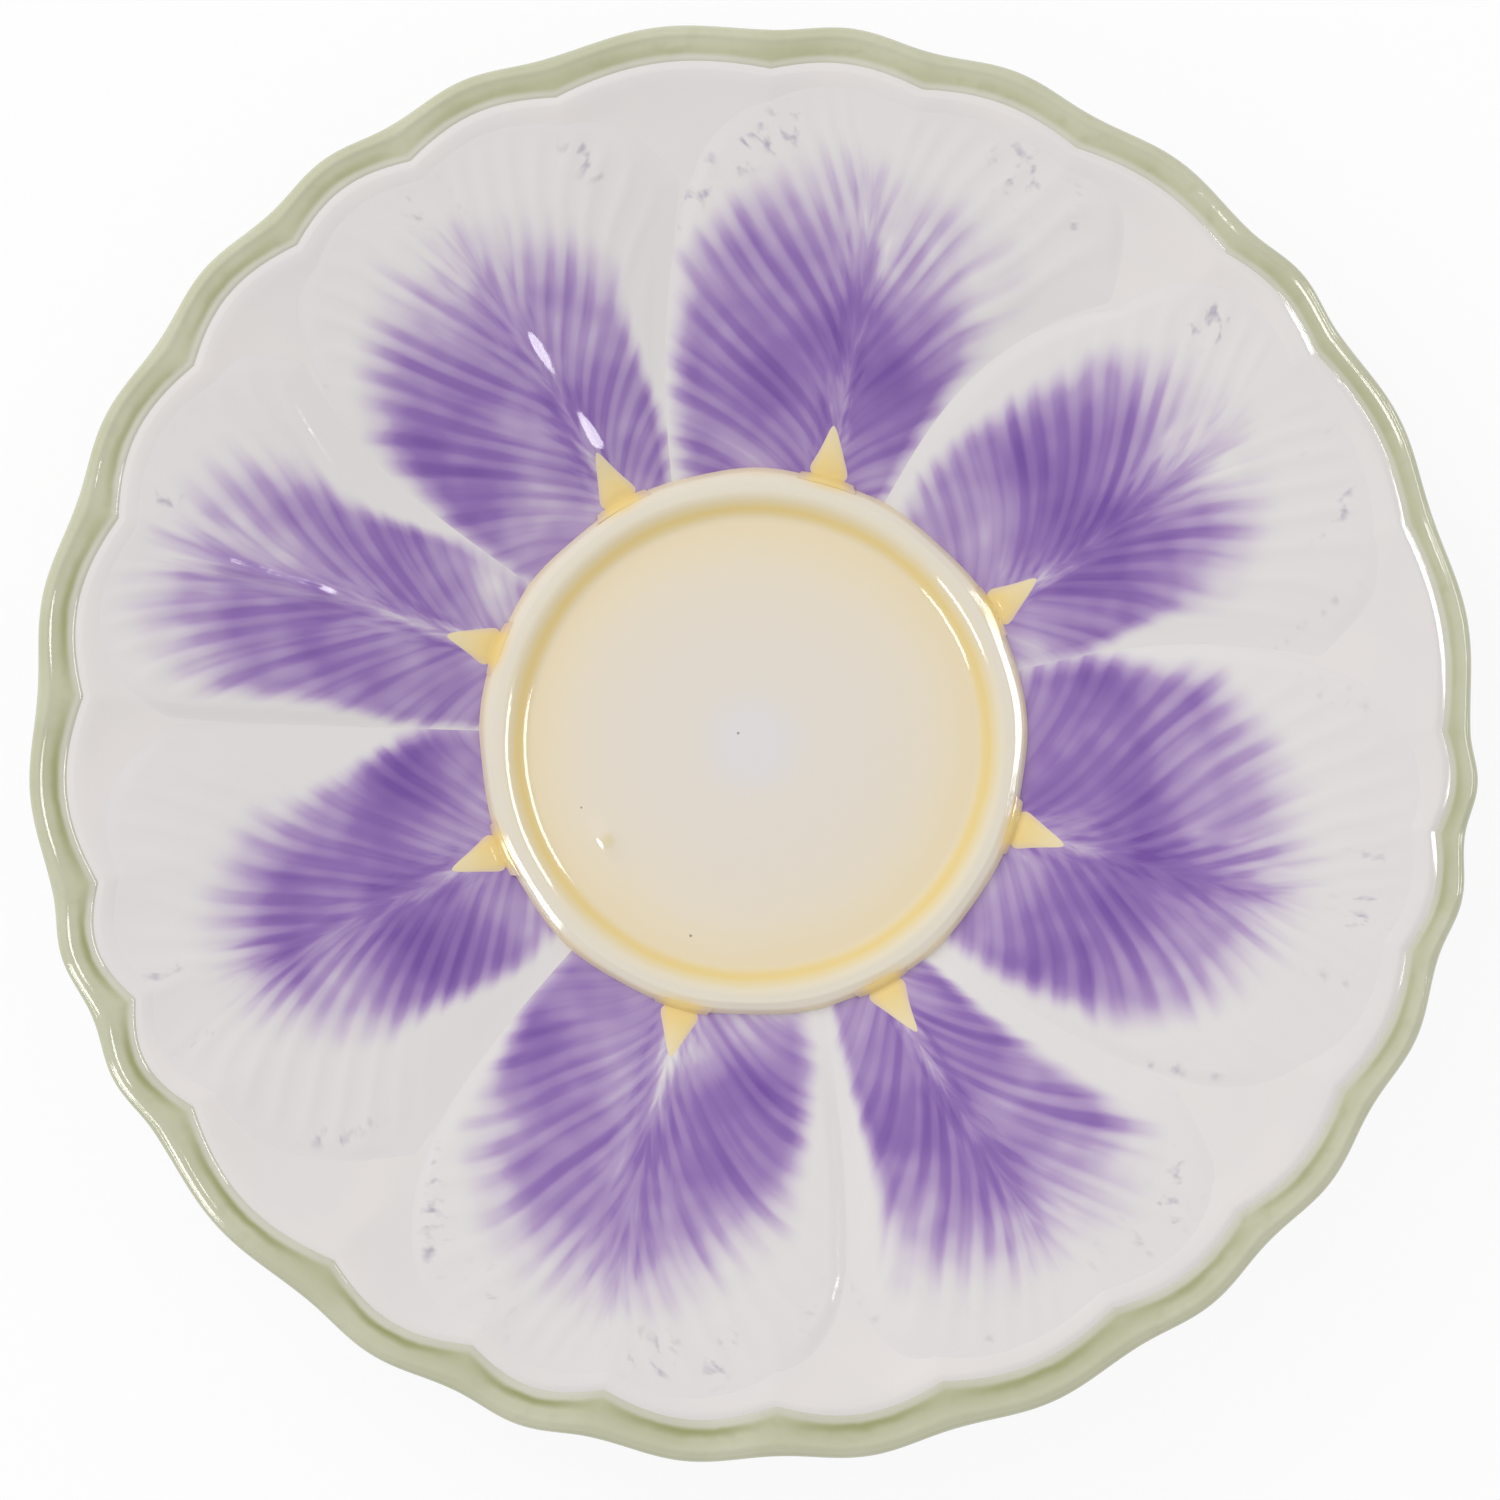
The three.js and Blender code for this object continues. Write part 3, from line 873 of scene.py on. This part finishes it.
def band_color(nodes, place):
    """The green wash, dark where it pools by the flower and in painted shade under the step, pale on the
    crest.
    """
    across, pool_and_shade = nodes.attribute("band")[:2]
    ripple = 0.2 * (nodes.noise(place, 0.3) - 0.5)
    crest = nodes.step(across + ripple, 0.2, 0.7)
    wash = nodes.mix(0.4 * crest, green_wash(nodes, place), paint(203, 203, 184))
    # The dark line by the white edge is pooled glaze with painted shade under the step.
    pool = nodes.step(across + ripple, -0.02, 0.15) * (1 - nodes.step(across + ripple, 0.15, 0.4))
    pooled_and_shaded = nodes.mix(0.9 * pool * pool_and_shade, wash, paint(150, 152, 104))
    return nodes.mix(0.4 * (1 - nodes.step(across, -0.05, 0.12)), pooled_and_shaded, WHITE)


keep_band(band)
dress(band, "rim_band", glaze("band_glaze", band_color))

# %% [markdown]
# ## White back layer
# Between the petals' tips the back layer shows as small white wedges. It ends in the scalloped edge, which
# falls to the green band in a narrow bevel, deepest on the right. The bevel wavers a little, so the light
# glints in pieces of it. In the kiln the green bled a little way into the white, so the edge is soft.

# %% White back layer
GROUND_INNER = 56.0
GROUND_STEPS = 16
GROUND_SINK = 0.08
GROUND_RISE_START = EDGE_RADIUS - 6.0
GROUND_RISE = 4.5
BEVEL_START = EDGE_RADIUS - 1.6
BEVEL_LEANS = [-14, 21, 28, 60]
BEVEL_LENGTHS = [0, 0.6, 1.0, 0.4]
BEVEL_STEP = 0.1
EDGE_SWELL = 0.2
EDGE_SWELL_RUN = 3.0
EDGE_WAVE = (0.13, 17, 30)


def ground_height(radius):
    """Height of the back layer: a little below the petals' slope, and level with it at the edge."""
    rise = smooth((radius - GROUND_RISE_START) / GROUND_RISE)
    return flower_height(radius) - GROUND_SINK * (1 - rise)


def press_edge(radius, angle, height):
    """Swells the edge and deepens its bevel on the right, and presses both flatter on the left."""
    full = ground_height(BEVEL_START) - height
    waver = 1 - EDGE_WAVE[0] + wave(angle, *EDGE_WAVE)
    share = (0.65 + wave(angle, 0.35, 1, STEP_SIDE)) * waver
    swell = EDGE_SWELL * share * smooth((radius - BEVEL_START + EDGE_SWELL_RUN) / EDGE_SWELL_RUN)
    pressed = np.where(radius > BEVEL_START, height + (1 - share) * full, height)
    return radius, angle, pressed + swell


def edge_color(nodes, place):
    """White glaze with green bled into its edge."""
    across = nodes.attribute("band")[0]
    bleed = nodes.step(across + 0.12 * (nodes.noise(place, 0.4) - 0.5), -0.08, 0.06)
    return nodes.mix(0.5 * bleed, white_color(nodes, place), green_wash(nodes, place))


ground_radii = np.linspace(GROUND_INNER, BEVEL_START, GROUND_STEPS)
ground_section = [(radius, ground_height(radius)) for radius in ground_radii]
bend_places = np.cumsum(BEVEL_LENGTHS)
bevel_radius, bevel_height = ground_section[-1]
for bevel_place in np.arange(BEVEL_STEP, bend_places[-1], BEVEL_STEP):
    lean = math.radians(np.interp(bevel_place, bend_places, BEVEL_LEANS))
    bevel_radius += BEVEL_STEP * math.cos(lean)
    bevel_height -= BEVEL_STEP * math.sin(lean)
    ground_section.append((bevel_radius, bevel_height))
ground = turn("flower_ground_visual", ground_section, BAND_COLUMNS)
mould(ground, press_edge)
press_scallops(ground)
make_coat(ground)
keep_band(ground)
dress(ground, "flower_ground", glaze("white_edge_glaze", edge_color))

# %% [markdown]
# ## Petals
# Each petal starts at the ring, widens, and rounds off near the lip. Its sides bow, and where two petals
# meet, one lies over the other. The mould was cut by hand, so each petal has a row of its own.

# %% Petal outlines
# side is an angle at the ring, and fork is where that side parts from its neighbour, fork_radius how far
# out that is, and bow how late the side drifts there. rib_tip is the midrib's angle at the tip. over says
# that the petal covers its neighbour there, and step how high the upper petal's edge stands. fullness is
# how square the tip is beside each fork. reach is how far along the brush went, at one side, in the middle
# and at the other. root and margin are how far across it went on each side, near the ring and halfway out,
# and tone how strongly. The midrib has a height, a width, the two distances from the ring between which it
# stands up, and a beat in its height.
USUAL_PETAL = {
    "over": False, "step": 0.24, "fullness": (4, 4), "tone": 1.0,
    "rib_height": 0.1, "rib_width": 1.5, "rib_span": (4, 24), "rib_beat": 0.2,
}
PETAL_ROWS = [
    {"side": 15.7, "fork": 8.3, "fork_radius": 63.4, "bow": 2.0, "rib_tip": 35,
     "reach": (0.56, 0.70, 0.66), "root": (1.02, 0.87), "margin": (0.80, 0.76), "tone": 0.93},
    {"side": 61.8, "fork": 50.8, "fork_radius": 62.7, "bow": 2.4, "rib_tip": 79,
     "reach": (0.61, 0.72, 0.70), "root": (0.99, 0.95), "margin": (0.97, 0.95), "fullness": (8, 3)},
    {"side": 107.8, "fork": 97.1, "fork_radius": 62.9, "bow": 1.0, "rib_tip": 121,
     "reach": (0.53, 0.73, 0.68), "root": (0.98, 1.02), "margin": (0.71, 0.95),
     "rib_height": 0.8, "rib_span": (3, 20)},
    {"side": 145, "fork": 139.4, "fork_radius": 65.2, "bow": 3.0, "rib_tip": 162,
     "reach": (0.67, 0.83, 0.78), "root": (1.0, 0.97), "margin": (0.70, 0.82), "tone": 0.82,
     "step": 0.16, "fullness": (6, 4),
     "rib_height": 0.43, "rib_width": 0.9, "rib_span": (17, 31), "rib_beat": 0.0},
    {"side": 177.9, "fork": 178, "fork_radius": 65.4, "bow": 1.0, "rib_tip": 205,
     "reach": (0.49, 0.71, 0.40), "root": (1.02, 0.84), "margin": (0.65, 0.60), "tone": 1.06,
     "fullness": (4, 2.2)},
    {"side": 228.3, "fork": 231.1, "fork_radius": 59.4, "bow": 2.5, "rib_tip": 256,
     "reach": (0.66, 0.72, 0.54), "root": (1.02, 0.88), "margin": (0.91, 0.77), "tone": 0.93, "over": True},
    {"side": 285, "fork": 279.8, "fork_radius": 62.1, "bow": 1.2, "rib_tip": 301,
     "reach": (0.72, 0.76, 0.70), "root": (0.9, 0.78), "margin": (0.80, 0.78), "tone": 0.98,
     "step": 0.36, "fullness": (6, 6)},
    {"side": 311.6, "fork": 321, "fork_radius": 60.4, "bow": 1.0, "rib_tip": 344,
     "reach": (0.60, 0.68, 0.58), "root": (0.92, 1.02), "margin": (0.88, 0.90), "over": True,
     "fullness": (3, 4)},
]
PETALS = [{**USUAL_PETAL, **row, "rib": rib} for row, rib in zip(PETAL_ROWS, SEPAL_ANGLES)]
PETAL_START = 29.9
PETAL_TIP = 74.8


def side_angle(petal, radius):
    """Angle of a petal's first side."""
    share = np.clip((radius - RING_OUTER) / (petal["fork_radius"] - RING_OUTER), 0, 1)
    return petal["side"] + (petal["fork"] - petal["side"]) * share ** petal["bow"]


def rib_angle(petal, radius):
    """Angle of a petal's midrib."""
    share = np.clip((radius - RING_OUTER) / (PETAL_TIP - RING_OUTER), 0, 1)
    return petal["rib"] + (petal["rib_tip"] - petal["rib"]) * share


print("petals:", len(PETALS))

# %% [markdown]
# The veins are one formula. On each half of a petal they fan out from a point at the foot of the midrib, a
# little way across it, so that they leave the midrib at a slant. The formula counts them by their angle
# there. It raises the ridges here and lightens the paint on them later.

# %% Veins
FAN_ASIDE = 20.0
FAN_BELOW = 20.0
FAN_BEND = 1.8
FAN_POWER = 0.8
VEIN_ANGLE = 0.042


def strands(aside, along, seed):
    """Veins counted round the fan, from millimetres aside and along. seed makes each petal differ."""
    lean = FAN_BEND * abs(aside) ** FAN_POWER
    fan = arctangent((lean + FAN_ASIDE) / (along + FAN_BELOW))
    drift = 0.25 * sine(0.15 * aside + 0.1 * along + seed)
    drift = drift + 0.1 * sine(0.4 * aside - 0.1 * along + 2 * seed)
    return fan * (1 / VEIN_ANGLE) + drift


def ridge(count):
    """1 on a vein and 0 halfway between two."""
    return 0.5 + 0.5 * sine(math.tau * count)


print(f"veins every {math.degrees(VEIN_ANGLE):.1f} degrees")

# %% [markdown]
# A petal's relief is a sum of heights, each of which fades softly over its own distance: the slope, a crown
# in the middle, a rounded step at the side that lies over a neighbour, the midrib and the veins.

# %% Petal relief
EDGE_RUN = 2.4
SLOPE_RUN = 7.0
TIP_RUN = 10.0
CROWN = 0.55
CROWN_END = 0.7
SWELL_RUN = 14.0
ROOT_DIP = 0.4
ROOT_RUN = 6.0
RIB_RISE = 4.0
RIB_FALL = 8.0
RIB_BEAT_START = 5.0
RIB_BEAT_LENGTH = 2.0
VEIN_HEIGHT = 0.11
VEIN_START = 16.0
VEIN_RISE = 14.0
VEIN_MARGIN = 1.0
VEIN_RUN = 4.0
VEIN_RIB_RUN = 3.0
UNDERLAP = 0.6
UNDERLAP_START = 0.9
SINK = 0.12


def petal_base(radius):
    """Height of the slope under a petal's relief, with a dip at the ring's foot."""
    return flower_height(radius) - ROOT_DIP * (1 - smooth((radius - RING_OUTER) / ROOT_RUN))


def rib_ridge(petal, aside, out):
    """Height of the midrib, from millimetres aside and out from the ring."""
    start, end = petal["rib_span"]
    fade = smooth((out - start) / RIB_RISE) * (1 - smooth((out - end) / RIB_FALL))
    beat = 1 - petal["rib_beat"] * (1 - np.cos((out - start - RIB_BEAT_START) / RIB_BEAT_LENGTH))
    return petal["rib_height"] * fade * beat * np.exp(-((aside / petal["rib_width"]) ** 2))


def petal_points(number, across, along):
    """Places of a petal's points, from -1 to 1 across and 0 to 1 along, and millimetres aside and out."""
    petal = PETALS[number]
    after = PETALS[(number + 1) % len(PETALS)]
    full = 360 if number + 1 == len(PETALS) else 0
    first = across < 0
    share = abs(across)

    # The tip's curve gives a point its radius, and the midrib and the nearer side give it its angle.
    fork_radius = np.where(first, petal["fork_radius"], after["fork_radius"])
    fullness = np.where(first, *petal["fullness"])
    tip = fork_radius + (PETAL_TIP - fork_radius) * (1 - share**fullness)
    radius = PETAL_START + along * (tip - PETAL_START)
    rib = rib_angle(petal, radius)
    side = np.where(first, side_angle(petal, radius), side_angle(after, radius) + full)
    half_width = radius * np.radians(abs(side - rib))
    over = np.where(first, petal["over"], not after["over"])
    aside = across * half_width
    out = radius - RING_OUTER

    # The step and the veins fade by the distance to the side and to the tip.
    to_side = (1 - share) * half_width
    tip_slope = fullness * (PETAL_TIP - fork_radius) * share ** (fullness - 1) / half_width
    to_tip = (tip - radius) / np.sqrt(1 + tip_slope**2)
    side_run = np.where(over, EDGE_RUN, SLOPE_RUN)
    tip_run = TIP_RUN + (EDGE_RUN - TIP_RUN) * smooth((share - 0.5) / 0.35)
    edge_step = petal["step"] + (after["step"] - petal["step"]) * smooth((across + 1) / 2)
    step = edge_step * smooth(to_side / side_run) * smooth(to_tip / tip_run)
    crown = CROWN * (1 - share**3) * (1 - smooth((along - CROWN_END) / (1 - CROWN_END)))
    swell = smooth(out / SWELL_RUN)
    vein_fade = smooth((out - VEIN_START) / VEIN_RISE) * smooth((abs(aside) - VEIN_MARGIN) / VEIN_RIB_RUN)
    for gap in (to_side, to_tip):
        vein_fade = vein_fade * smooth((gap - VEIN_MARGIN) / VEIN_RUN)
    veins = VEIN_HEIGHT * ridge(strands(aside, out, number)) ** 2 * vein_fade
    sink = SINK * (1 - smooth(np.minimum(to_side, to_tip) / EDGE_RUN))
    height = petal_base(radius) + swell * (step + crown) + rib_ridge(petal, aside, out) + veins - sink

    # A side that lies under its neighbour runs on a little way below it.
    tuck = UNDERLAP * smooth((share - UNDERLAP_START) / (1 - UNDERLAP_START)) * np.sign(across)
    angle = rib + share * (side - rib) + np.degrees(np.where(over, 0, tuck) / radius)
    return polar(scalloped(radius, angle), angle, height), aside, out


# %% [markdown]
# A grid is added for each petal, and each of its points is placed by how far across and how far along the
# petal it lies, which gives outline and relief at once. Its lines crowd together towards the sides and the
# tip, where the relief is steepest.

# %% Petal grids
ACROSS_STEPS = 160
ALONG_STEPS = 140
ACROSS_CROWDING = 0.65
ALONG_CROWDING = 0.4


def add_grid(name, across_steps, along_steps):
    """Adds a grid and gives its points' places, from -1 to 1 across and 0 to 1 along."""
    bpy.ops.mesh.primitive_grid_add(x_subdivisions=across_steps, y_subdivisions=along_steps, size=2 * MM)
    piece = bpy.context.active_object
    piece.name = name
    across, out = points_of(piece).T[:2]
    return piece, across, (out + 1) / 2


def crowded(share, crowding):
    """Moves even places closer to 1, and those below 0 closer to -1."""
    return (1 - crowding) * share + crowding * np.sin(share * np.pi / 2)


def add_petal(number):
    """Adds a grid and presses it into a petal."""
    piece, across, along = add_grid(f"petal_{number + 1}_visual", ACROSS_STEPS, ALONG_STEPS)
    across = crowded(across, ACROSS_CROWDING)
    along = crowded(along, ALONG_CROWDING)
    points, aside, out = petal_points(number, across, along)
    put_points(piece, points)
    keep(piece, "leaf", [aside, out])
    keep(piece, "field", [across, along])
    make_coat(piece)
    return piece


print(f"grids of {ACROSS_STEPS} by {ALONG_STEPS} cells")

# %% [markdown]
# ## Purple paint
# The purple was brushed on in strokes along the veins. It ran off the ridges, so the veins and the foot of
# the midrib are pale, and each stroke ends at its own length, which leaves a ragged edge. Every petal has
# the same recipe with its own reach, so the material is a function of the petal's number.

# %% Purple paint
PURPLES = [
    (0.0, WHITE),
    (0.14, paint(205, 195, 209)),
    (0.34, paint(178, 156, 194)),
    (0.64, paint(144, 114, 175)),
    (0.98, paint(118, 86, 158)),
]
SPECK_COLOR = paint(130, 122, 154)
SIDE_SOFTNESS = 0.14
END_SOFTNESS = 0.19
OUTER_THIRD = 0.7


def petal_color(number):
    """The colour of one petal, as a function for its glaze."""
    left, middle, right = PETALS[number]["reach"]
    first_root, last_root = PETALS[number]["root"]
    first_margin, last_margin = PETALS[number]["margin"]
    tilt = (right - left) / (2 * OUTER_THIRD)
    bend = ((left + right) / 2 - middle) / OUTER_THIRD**2

    def color(nodes, place):
        aside, out = nodes.attribute("leaf")[:2]
        across, along = nodes.attribute("field")[:2]

        # Noise that is stretched along the veins draws the strokes, with another page for each half.
        half = nodes.step(across, -0.25, 0.25)
        count = strands(aside, out, number)
        distance = out + abs(aside)
        page = 4 * half + 9.0 * number

        def grain(x, y, layer, scale=1.0):
            return nodes.noise(nodes.vector(x, y, layer), scale)

        stroke = grain(count * 0.5, distance * 0.025, page) - 0.5
        streak = grain(count * 1.2, distance * 0.03, page + 2.0) - 0.5
        patch = grain(aside, out, 31.0 * number + 7.0, 0.09) - 0.5

        # The veins and the foot of the midrib are pale.
        vein = nodes.step(ridge(count), 0.1, 1.0) * nodes.step(stroke + streak, -0.3, 0.2)
        vein = vein * nodes.step(abs(aside), 0.3, 2.4)
        midrib = 1 - nodes.step(abs(aside) + 1.2 * streak, 0.0, 1.5)
        midrib = midrib * (1 - nodes.step(out, 8.0, 24.0))

        # The paint ends where no room is left, at the sides or at the ragged end of the strokes.
        near = first_root + (last_root - first_root) * half
        far = first_margin + (last_margin - first_margin) * half
        margin = near + (far - near) * nodes.step(along, 0.15, 0.55)
        end = middle + 0.06 + tilt * across + bend * across * across
        side_room = (margin - abs(across)) / SIDE_SOFTNESS + 0.5 * streak
        end_room = (end - along) / END_SOFTNESS + 0.4 * stroke + 0.25 * streak
        stain = nodes.step(nodes.math("MINIMUM", side_room, end_room) - 0.12 * vein, -0.4, 1.0)

        # It is deepest a third of the way out, and paler at the ring and at the end.
        fall = nodes.step(along / end, 0.35, 1.0)
        root = 1 - nodes.step(along / end, 0.05, 0.5)
        shade = 0.8 - 0.46 * fall - 0.3 * root - 0.25 * vein * (1 - 0.5 * root)
        depth = PETALS[number]["tone"] * shade + patch + 0.7 * stroke + 0.5 * streak - 0.26 * midrib
        purple = nodes.ramp(stain * depth, PURPLES)

        # A few clusters of grey specks lie near the tip.
        tip = nodes.step(along, 0.78, 0.86) * (1 - nodes.step(along, 0.9, 0.97))
        cluster = nodes.step(grain(aside, 0.0, 3.0 * number, 0.16), 0.54, 0.62)
        mark = grain(count * 2.0, out * 0.5, page)
        return nodes.mix(0.6 * tip * cluster * nodes.step(mark, 0.5, 0.75), purple, SPECK_COLOR)

    return color


for number in range(len(PETALS)):
    petal_glaze = glaze(f"petal_{number + 1}_glaze", petal_color(number))
    dress(add_petal(number), f"petal_{number + 1}", petal_glaze)

# %% [markdown]
# ## Sepals
# A yellow spur leaves the ring on each midrib. It is a small ridge that narrows and sinks to a point. A
# grid is pressed into each spur on top of its petal.

# %% Sepals
SEPAL_LENGTH = 8.2
SEPAL_ROOT = 0.35
SEPAL_HALF_WIDTH = 3.0
SEPAL_TIP_WIDTH = 0.45
SEPAL_HEIGHT = 0.5
SEPAL_TAPER = 1.5
SEPAL_POINT = 8
SEPAL_RISE = 0.25
SEPAL_BULGE = 0.45
SEPAL_BULGE_ROUND = 0.3
SEPAL_ACROSS_STEPS = 24
SEPAL_ALONG_STEPS = 28
SEPAL_BENDS = [0.5, 0.9, -0.8, 0.6, -0.5, 0.4, 0.8, -0.6]


def sepal_color(nodes, place):
    """Deep yellow at the ring, paler towards the point."""
    across, along = nodes.attribute("field")[:2]
    cloud = nodes.noise(place, 0.5)
    middle = nodes.step(along + 0.3 * (cloud - 0.5), 0.1, 0.75)
    yellow = nodes.mix(middle, paint(232, 206, 140), paint(229, 214, 176))
    brim = nodes.math("MAXIMUM", nodes.step(along, 0.62, 1.0), nodes.step(abs(across), 0.4, 0.95))
    return nodes.mix(0.6 * brim, yellow, paint(206, 188, 190))


def add_sepal(number):
    """Adds a grid and presses it into a spur on the petal's midrib."""
    petal = PETALS[number]
    piece, across, along = add_grid(f"sepal_{number + 1}_visual", SEPAL_ACROSS_STEPS, SEPAL_ALONG_STEPS)
    radius = RING_OUTER - SEPAL_ROOT + along * (SEPAL_LENGTH + SEPAL_ROOT)
    out = radius - RING_OUTER
    half_width = SEPAL_TIP_WIDTH + SEPAL_HALF_WIDTH * (1 - along) ** SEPAL_TAPER
    half_width = half_width * np.sqrt(np.clip(1 - along**SEPAL_POINT, 0, 1))
    aside = across * half_width + SEPAL_BENDS[number] * along**2
    spur = SEPAL_HEIGHT * smooth(along / SEPAL_RISE) * (1 - along) * (1 - across**2)
    crown = smooth(out / SWELL_RUN) * (petal["step"] + CROWN)
    petal_top = petal_base(radius) + crown + rib_ridge(petal, aside, out)
    ring_side = ring_height(radius - SEPAL_BULGE * (1 - SEPAL_BULGE_ROUND * across**2))
    height = np.maximum(petal_top, ring_side) + spur - SINK
    angle = rib_angle(petal, radius) + np.degrees(aside / radius)
    put_points(piece, polar(radius, angle, height))
    keep(piece, "field", [across, along])
    make_coat(piece)
    return piece


sepal_glaze = glaze("sepal_glaze", sepal_color)
for number in range(len(PETALS)):
    dress(add_sepal(number), f"sepal_{number + 1}", sepal_glaze)
